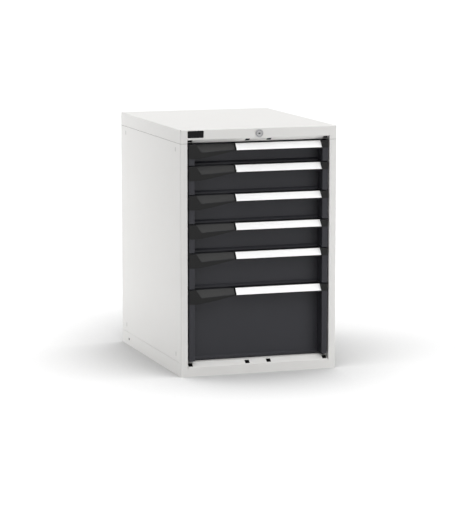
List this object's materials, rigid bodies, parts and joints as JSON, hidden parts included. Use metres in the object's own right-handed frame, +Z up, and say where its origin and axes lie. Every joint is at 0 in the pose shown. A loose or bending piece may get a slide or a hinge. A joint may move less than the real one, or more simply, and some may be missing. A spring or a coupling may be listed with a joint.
{
  "type": "drawer cabinet",
  "caption": "Floor-standing steel workshop cabinet with recessed dark drawers of several heights on full-extension slides, label handles, press catches and one central lock.",
  "frame": {"origin": "on the floor, at the middle of the footprint of the whole object", "axes": "+Z up, the drawers open towards -Y, +X to the right of a person facing the drawers"},
  "size_m": [0.564, 0.728, 0.85],
  "materials": {
    "carcass_paint": "light grey powder coat with a fine texture",
    "drawer_paint": "dark grey powder coat, satin",
    "handle_aluminium": "pale anodised extrusion",
    "label_white": "blank white label strip",
    "cap_plastic": "black moulded plastic",
    "paddle_plastic": "dark grey moulded plastic",
    "rail_steel": "zinc-plated steel",
    "lock_metal": "nickel-plated, turned",
    "badge_black": "plain black plate"
  },
  "bodies": {
    "cabinet": {"left_side_panel": "carcass_paint", "right_side_panel": "carcass_paint", "back_panel": "carcass_paint", "top_cover": "carcass_paint", "base_frame": "carcass_paint", "plinth_rails": "carcass_paint", "runner_uprights": "carcass_paint", "cabinet_rails": "rail_steel", "lock_barrel": "lock_metal", "badge_plate": "badge_black"},
    "lock_core": {"lock_plug": "lock_metal"},
    "lock_linkage": {"lock_bar": "rail_steel"},
    "drawer_1": {"drawer_1_tray": "drawer_paint", "drawer_1_front": "drawer_paint", "drawer_1_handle": "handle_aluminium", "drawer_1_label": "label_white", "drawer_1_end_caps": "cap_plastic", "drawer_1_rails": "rail_steel"},
    "drawer_1_slide_members": {"drawer_1_mid_rails": "rail_steel"},
    "drawer_1_catch": {"drawer_1_catch_lever": "paddle_plastic"},
    "drawer_2": {"drawer_2_tray": "drawer_paint", "drawer_2_front": "drawer_paint", "drawer_2_handle": "handle_aluminium", "drawer_2_label": "label_white", "drawer_2_end_caps": "cap_plastic", "drawer_2_rails": "rail_steel"},
    "drawer_2_slide_members": {"drawer_2_mid_rails": "rail_steel"},
    "drawer_2_catch": {"drawer_2_catch_lever": "paddle_plastic"},
    "drawer_3": {"drawer_3_tray": "drawer_paint", "drawer_3_front": "drawer_paint", "drawer_3_handle": "handle_aluminium", "drawer_3_label": "label_white", "drawer_3_end_caps": "cap_plastic", "drawer_3_rails": "rail_steel"},
    "drawer_3_slide_members": {"drawer_3_mid_rails": "rail_steel"},
    "drawer_3_catch": {"drawer_3_catch_lever": "paddle_plastic"},
    "drawer_4": {"drawer_4_tray": "drawer_paint", "drawer_4_front": "drawer_paint", "drawer_4_handle": "handle_aluminium", "drawer_4_label": "label_white", "drawer_4_end_caps": "cap_plastic", "drawer_4_rails": "rail_steel"},
    "drawer_4_slide_members": {"drawer_4_mid_rails": "rail_steel"},
    "drawer_4_catch": {"drawer_4_catch_lever": "paddle_plastic"},
    "drawer_5": {"drawer_5_tray": "drawer_paint", "drawer_5_front": "drawer_paint", "drawer_5_handle": "handle_aluminium", "drawer_5_label": "label_white", "drawer_5_end_caps": "cap_plastic", "drawer_5_rails": "rail_steel"},
    "drawer_5_slide_members": {"drawer_5_mid_rails": "rail_steel"},
    "drawer_5_catch": {"drawer_5_catch_lever": "paddle_plastic"},
    "drawer_6": {"drawer_6_tray": "drawer_paint", "drawer_6_front": "drawer_paint", "drawer_6_handle": "handle_aluminium", "drawer_6_label": "label_white", "drawer_6_end_caps": "cap_plastic", "drawer_6_rails": "rail_steel"},
    "drawer_6_slide_members": {"drawer_6_mid_rails": "rail_steel"},
    "drawer_6_catch": {"drawer_6_catch_lever": "paddle_plastic"}
  },
  "joints": [
    {"name": "drawer_1_slide", "type": "slide", "parent": "cabinet", "child": "drawer_1", "axis": [0, -1, 0], "range_m": [0, 0.6]},
    {"name": "drawer_1_mid_slide", "type": "slide", "parent": "cabinet", "child": "drawer_1_slide_members", "axis": [0, -1, 0], "range_m": [0, 0.3]},
    {"name": "drawer_1_catch_press", "type": "hinge", "parent": "drawer_1", "child": "drawer_1_catch", "pos_m": [0, -0.33979, 0.7952], "axis": [1, 0, 0], "range_deg": [0, 6], "stiffness_Nm_per_rad": 0.5, "springref_deg": -2.86},
    {"name": "drawer_2_slide", "type": "slide", "parent": "cabinet", "child": "drawer_2", "axis": [0, -1, 0], "range_m": [0, 0.6]},
    {"name": "drawer_2_mid_slide", "type": "slide", "parent": "cabinet", "child": "drawer_2_slide_members", "axis": [0, -1, 0], "range_m": [0, 0.3]},
    {"name": "drawer_2_catch_press", "type": "hinge", "parent": "drawer_2", "child": "drawer_2_catch", "pos_m": [0, -0.33979, 0.7202], "axis": [1, 0, 0], "range_deg": [0, 6], "stiffness_Nm_per_rad": 0.5, "springref_deg": -2.86},
    {"name": "drawer_3_slide", "type": "slide", "parent": "cabinet", "child": "drawer_3", "axis": [0, -1, 0], "range_m": [0, 0.6]},
    {"name": "drawer_3_mid_slide", "type": "slide", "parent": "cabinet", "child": "drawer_3_slide_members", "axis": [0, -1, 0], "range_m": [0, 0.3]},
    {"name": "drawer_3_catch_press", "type": "hinge", "parent": "drawer_3", "child": "drawer_3_catch", "pos_m": [0, -0.33979, 0.6202], "axis": [1, 0, 0], "range_deg": [0, 6], "stiffness_Nm_per_rad": 0.5, "springref_deg": -2.86},
    {"name": "drawer_4_slide", "type": "slide", "parent": "cabinet", "child": "drawer_4", "axis": [0, -1, 0], "range_m": [0, 0.6]},
    {"name": "drawer_4_mid_slide", "type": "slide", "parent": "cabinet", "child": "drawer_4_slide_members", "axis": [0, -1, 0], "range_m": [0, 0.3]},
    {"name": "drawer_4_catch_press", "type": "hinge", "parent": "drawer_4", "child": "drawer_4_catch", "pos_m": [0, -0.33979, 0.5202], "axis": [1, 0, 0], "range_deg": [0, 6], "stiffness_Nm_per_rad": 0.5, "springref_deg": -2.86},
    {"name": "drawer_5_slide", "type": "slide", "parent": "cabinet", "child": "drawer_5", "axis": [0, -1, 0], "range_m": [0, 0.6]},
    {"name": "drawer_5_mid_slide", "type": "slide", "parent": "cabinet", "child": "drawer_5_slide_members", "axis": [0, -1, 0], "range_m": [0, 0.3]},
    {"name": "drawer_5_catch_press", "type": "hinge", "parent": "drawer_5", "child": "drawer_5_catch", "pos_m": [0, -0.33979, 0.4202], "axis": [1, 0, 0], "range_deg": [0, 6], "stiffness_Nm_per_rad": 0.5, "springref_deg": -2.86},
    {"name": "drawer_6_slide", "type": "slide", "parent": "cabinet", "child": "drawer_6", "axis": [0, -1, 0], "range_m": [0, 0.6]},
    {"name": "drawer_6_mid_slide", "type": "slide", "parent": "cabinet", "child": "drawer_6_slide_members", "axis": [0, -1, 0], "range_m": [0, 0.3]},
    {"name": "drawer_6_catch_press", "type": "hinge", "parent": "drawer_6", "child": "drawer_6_catch", "pos_m": [0, -0.33979, 0.2952], "axis": [1, 0, 0], "range_deg": [0, 6], "stiffness_Nm_per_rad": 0.5, "springref_deg": -2.86},
    {"name": "lock_turn", "type": "hinge", "parent": "cabinet", "child": "lock_core", "pos_m": [0, -0.361, 0.8317], "axis": [0, 1, 0], "range_deg": [0, 90]},
    {"name": "lock_bar_drop", "type": "slide", "parent": "cabinet", "child": "lock_linkage", "axis": [0, 0, -1], "range_m": [0, 0.0099]}
  ],
  "couplings": [
    {"joint": "drawer_1_mid_slide", "follows": "drawer_1_slide", "ratio": 0.5},
    {"joint": "drawer_2_mid_slide", "follows": "drawer_2_slide", "ratio": 0.5},
    {"joint": "drawer_3_mid_slide", "follows": "drawer_3_slide", "ratio": 0.5},
    {"joint": "drawer_4_mid_slide", "follows": "drawer_4_slide", "ratio": 0.5},
    {"joint": "drawer_5_mid_slide", "follows": "drawer_5_slide", "ratio": 0.5},
    {"joint": "drawer_6_mid_slide", "follows": "drawer_6_slide", "ratio": 0.5},
    {"joint": "lock_turn", "follows": "lock_bar_drop", "rad_per_m": 158.6}
  ]
}
